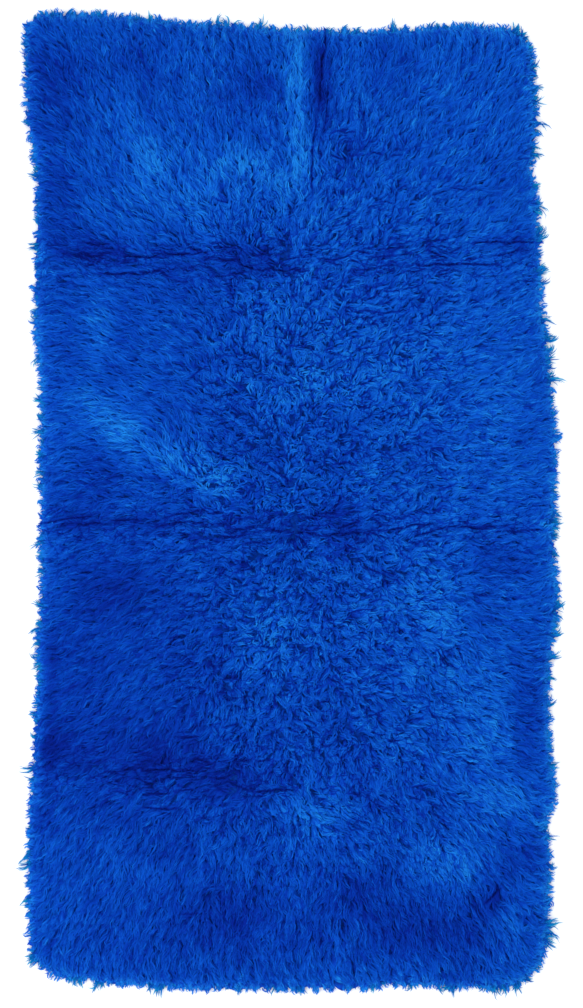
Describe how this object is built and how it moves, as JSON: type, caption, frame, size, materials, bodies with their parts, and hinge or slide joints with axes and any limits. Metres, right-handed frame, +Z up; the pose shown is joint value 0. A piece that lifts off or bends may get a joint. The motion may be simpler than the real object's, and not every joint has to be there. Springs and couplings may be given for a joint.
{
  "type": "moroccan wool rug",
  "caption": "Flat hand-knotted shag rug of plain blue wool with an uneven outline, soft folds and loose locks at its rim.",
  "frame": {"origin": "centre of the overall outline, on the floor that the underside rests on", "axes": "+X across the rug, +Y along its length towards the edge that is at the top in the picture, +Z up through the pile"},
  "size_m": [1.0642, 1.9228, 0.0377],
  "materials": {
    "wool_pile": "matt blue wool pile, combed in places"
  },
  "bodies": {
    "root": {"shag_rug": "wool_pile"}
  },
  "joints": []
}
